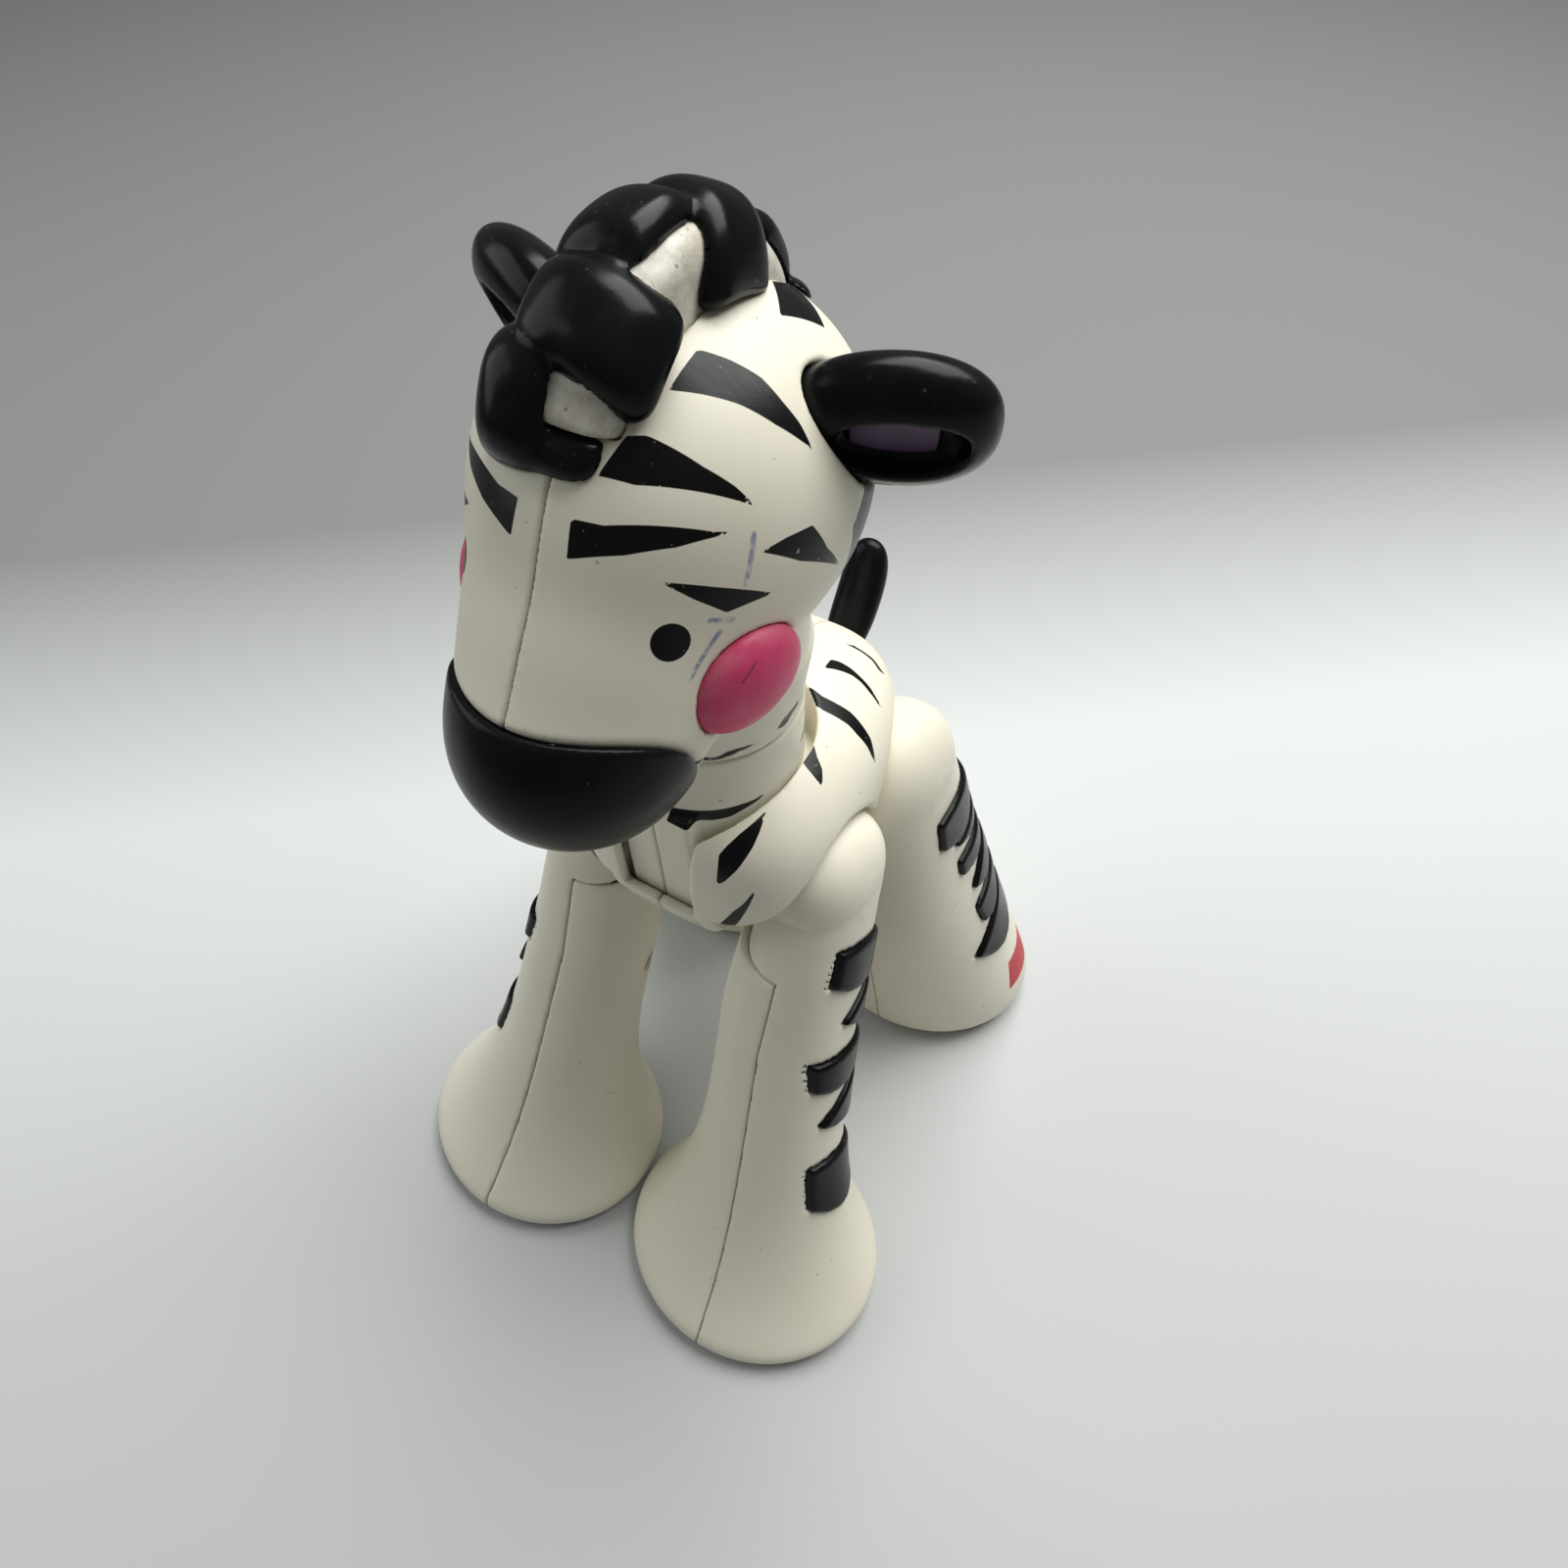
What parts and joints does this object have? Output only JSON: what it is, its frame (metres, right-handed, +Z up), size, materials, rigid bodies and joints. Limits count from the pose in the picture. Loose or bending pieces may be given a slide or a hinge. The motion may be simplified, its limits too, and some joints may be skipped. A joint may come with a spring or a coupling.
{
  "type": "jointed toy zebra",
  "caption": "Standing moulded toy zebra with clicking hip-jointed legs, a nodding neck, a turning head and loose beads that rattle in the body.",
  "frame": {"origin": "on the floor at the centre of the bounding box, with all four soles flat on z = 0", "axes": "+Z up; the zebra faces -Y, its left side is +X and its tail is towards +Y"},
  "size_m": [0.0968, 0.1149, 0.1767],
  "materials": {
    "cream_plastic": "satin moulded",
    "black_plastic": "glossy moulded",
    "black_rubber": "glossy moulded",
    "click_plastic": "moulded",
    "steel": "turned",
    "pink_plastic": "satin painted",
    "purple_paint": "painted",
    "yellow_plastic": "moulded",
    "blue_plastic": "moulded",
    "red_plastic": "moulded",
    "green_plastic": "moulded",
    "bead_plastic": "moulded"
  },
  "bodies": {
    "body": {"body_left_shell": "cream_plastic", "body_right_shell": "cream_plastic", "tail": "black_plastic", "front_axle": "steel", "hind_axle": "steel", "bead_drum": "click_plastic", "bead_drum_lid": "click_plastic", "neck_click_wheel": "click_plastic", "front_left_click_wheel": "click_plastic", "front_right_click_wheel": "click_plastic", "hind_left_click_wheel": "click_plastic", "hind_right_click_wheel": "click_plastic"},
    "neck": {"neck_left_shell": "cream_plastic", "neck_right_shell": "cream_plastic", "neck_click_leaf": "steel", "head_retainer": "click_plastic"},
    "head": {"head_left_shell": "cream_plastic", "head_right_shell": "cream_plastic", "muzzle": "black_plastic", "mane_core": "cream_plastic", "mane": "black_rubber", "ear_left": "black_rubber", "ear_right": "black_rubber", "ear_inner_left": "purple_paint", "ear_inner_right": "purple_paint", "cheek_left": "pink_plastic", "cheek_right": "pink_plastic"},
    "front_left_leg": {"front_left_outer_shell": "cream_plastic", "front_left_inner_shell": "cream_plastic", "front_left_click_leaf": "steel", "front_left_screw": "steel", "front_left_stripe_insert": "black_plastic", "front_left_sole": "yellow_plastic"},
    "front_right_leg": {"front_right_outer_shell": "cream_plastic", "front_right_inner_shell": "cream_plastic", "front_right_click_leaf": "steel", "front_right_screw": "steel", "front_right_stripe_insert": "black_plastic", "front_right_sole": "blue_plastic"},
    "hind_left_leg": {"hind_left_outer_shell": "cream_plastic", "hind_left_inner_shell": "cream_plastic", "hind_left_click_leaf": "steel", "hind_left_screw": "steel", "hind_left_stripe_insert": "black_plastic", "hind_left_sole": "red_plastic"},
    "hind_right_leg": {"hind_right_outer_shell": "cream_plastic", "hind_right_inner_shell": "cream_plastic", "hind_right_click_leaf": "steel", "hind_right_screw": "steel", "hind_right_stripe_insert": "black_plastic", "hind_right_sole": "green_plastic"},
    "bead_1": {"bead_1": "bead_plastic"},
    "bead_2": {"bead_2": "bead_plastic"},
    "bead_3": {"bead_3": "bead_plastic"}
  },
  "joints": [
    {"name": "front_left_hip", "type": "hinge", "parent": "body", "child": "front_left_leg", "pos_m": [0, -0.0008, 0.0831], "axis": [1, 0, 0], "range_deg": [-20, 10]},
    {"name": "front_right_hip", "type": "hinge", "parent": "body", "child": "front_right_leg", "pos_m": [0, -0.0008, 0.0831], "axis": [1, 0, 0], "range_deg": [-20, 10]},
    {"name": "hind_left_hip", "type": "hinge", "parent": "body", "child": "hind_left_leg", "pos_m": [0, 0.0226, 0.0812], "axis": [1, 0, 0], "range_deg": [-10, 20]},
    {"name": "hind_right_hip", "type": "hinge", "parent": "body", "child": "hind_right_leg", "pos_m": [0, 0.0226, 0.0812], "axis": [1, 0, 0], "range_deg": [-10, 20]},
    {"name": "neck_nod", "type": "hinge", "parent": "body", "child": "neck", "pos_m": [0, -0.0008, 0.0831], "axis": [1, 0, 0], "range_deg": [-8, 4]},
    {"name": "head_turn", "type": "hinge", "parent": "neck", "child": "head", "pos_m": [0, 0.0002, 0.1134], "axis": [0, 0, 1], "range_deg": [-40, 40]},
    {"name": "bead_1_slide", "type": "slide", "parent": "body", "child": "bead_1", "axis": [1, 0, 0], "range_m": [-0.0006, 0.0004]},
    {"name": "bead_2_slide", "type": "slide", "parent": "body", "child": "bead_2", "axis": [1, 0, 0], "range_m": [-0.0004, 0.0007]},
    {"name": "bead_3_slide", "type": "slide", "parent": "body", "child": "bead_3", "axis": [1, 0, 0], "range_m": [-0.0006, 0.0004]}
  ]
}
